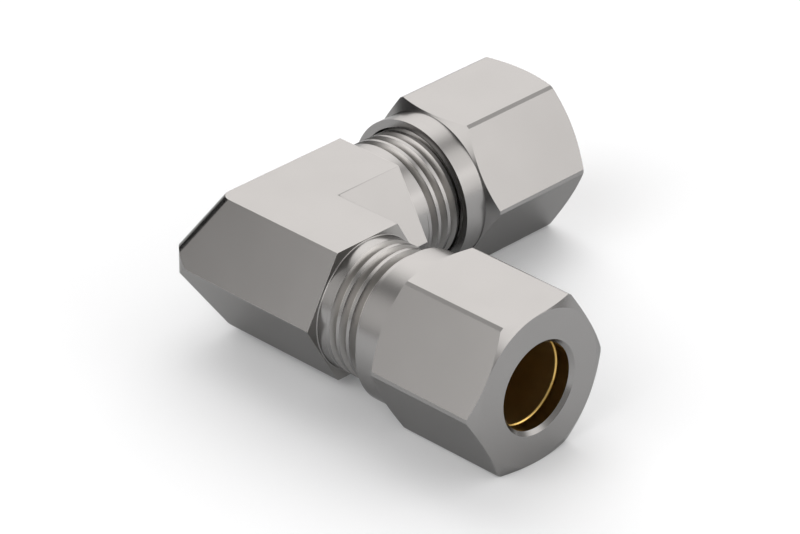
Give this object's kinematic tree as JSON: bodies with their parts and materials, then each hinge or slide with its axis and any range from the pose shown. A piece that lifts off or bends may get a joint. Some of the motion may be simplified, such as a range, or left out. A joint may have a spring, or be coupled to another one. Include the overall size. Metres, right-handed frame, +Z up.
{
  "type": "compression elbow",
  "caption": "Ninety degree compression elbow for metal tube, with a mitred hexagonal body, threaded arms, hexagonal union nuts and brass olives.",
  "frame": {"origin": "on the lower flat of the elbow's body, straight below the crossing of the two tube axes", "axes": "+X along the front arm out of its tube socket, +Y along the rear arm out of its tube socket, +Z up, square to both tube axes"},
  "size_m": [0.0497, 0.0497, 0.0182],
  "materials": {
    "nickel": "brass with a satin nickel plate",
    "brass": "plain turned brass"
  },
  "bodies": {
    "elbow": {"elbow_body": "nickel"},
    "front_ring": {"front_olive": "brass"},
    "front_union": {"front_nut": "nickel"},
    "rear_ring": {"rear_olive": "brass"},
    "rear_union": {"rear_nut": "nickel"}
  },
  "joints": [
    {"name": "front_ring_slide", "type": "slide", "parent": "elbow", "child": "front_ring", "axis": [1, 0, 0], "range_m": [0, 0.0111]},
    {"name": "front_nut_turn", "type": "hinge", "parent": "front_ring", "child": "front_union", "pos_m": [0.03, 0, 0.008], "axis": [1, 0, 0], "range_deg": [0, 2665]},
    {"name": "rear_ring_slide", "type": "slide", "parent": "elbow", "child": "rear_ring", "axis": [0, 1, 0], "range_m": [0, 0.0111]},
    {"name": "rear_nut_turn", "type": "hinge", "parent": "rear_ring", "child": "rear_union", "pos_m": [0, 0.03, 0.008], "axis": [0, 1, 0], "range_deg": [0, 2665]}
  ],
  "couplings": [
    {"joint": "front_nut_turn", "follows": "front_ring_slide", "rad_per_m": 4188.8},
    {"joint": "rear_nut_turn", "follows": "rear_ring_slide", "rad_per_m": 4188.8}
  ]
}
